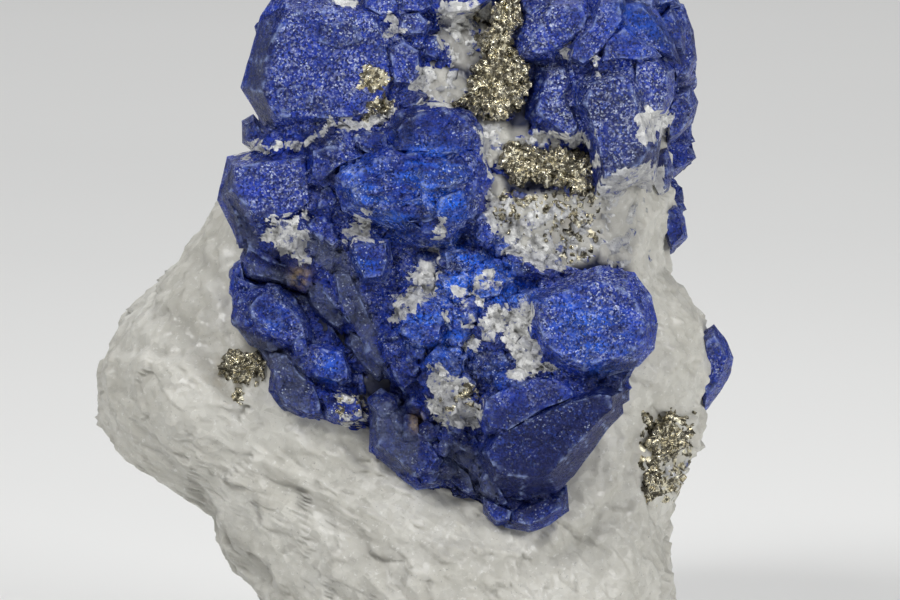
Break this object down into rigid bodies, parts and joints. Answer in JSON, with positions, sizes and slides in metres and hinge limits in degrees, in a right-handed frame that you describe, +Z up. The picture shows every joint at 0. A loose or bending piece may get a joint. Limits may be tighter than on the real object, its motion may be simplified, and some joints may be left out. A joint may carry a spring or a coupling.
{
  "type": "lazurite specimen",
  "caption": "Mineral specimen: deep blue faceted crystals with brassy pyrite and white calcite on a rounded lump of white marble, cut flat below to stand.",
  "frame": {"origin": "centre of the flat cut base, on the surface that the specimen stands on", "axes": "+Z up, the show side with the blue crystals faces -Y, +X to the right of someone who looks at the show side"},
  "size_m": [0.0882, 0.0662, 0.1037],
  "materials": {
    "lazurite": "opaque deep blue stone, flat faces frosted and worn, dark glossy bevels",
    "marble": "opaque white sugary stone, slightly translucent",
    "pyrite": "pale brass grains with bright facets and dark gaps"
  },
  "bodies": {
    "root": {"back_low_crystals": "lazurite", "back_right_crystal": "lazurite", "back_upper_crystals_1": "lazurite", "back_upper_crystals_2": "lazurite", "calcite_centre": "marble", "calcite_left": "marble", "calcite_lower": "marble", "calcite_seam": "marble", "central_crystals": "lazurite", "left_edge_crystal": "lazurite", "lower_left_crystals": "lazurite", "lower_middle_crystals": "lazurite", "marble_matrix": "marble", "pyrite_left": "pyrite", "pyrite_lower": "pyrite", "pyrite_middle": "pyrite", "pyrite_right": "pyrite", "pyrite_upper": "pyrite", "right_edge_crystal": "lazurite", "right_side_crystals": "lazurite", "right_small_crystal": "lazurite", "top_crystals_1": "lazurite", "top_crystals_2": "lazurite", "upper_left_crystals": "lazurite", "upper_right_crystals_1": "lazurite", "upper_right_crystals_2": "lazurite", "upper_right_crystals_3": "lazurite", "upper_right_crystals_4": "lazurite"}
  },
  "joints": []
}
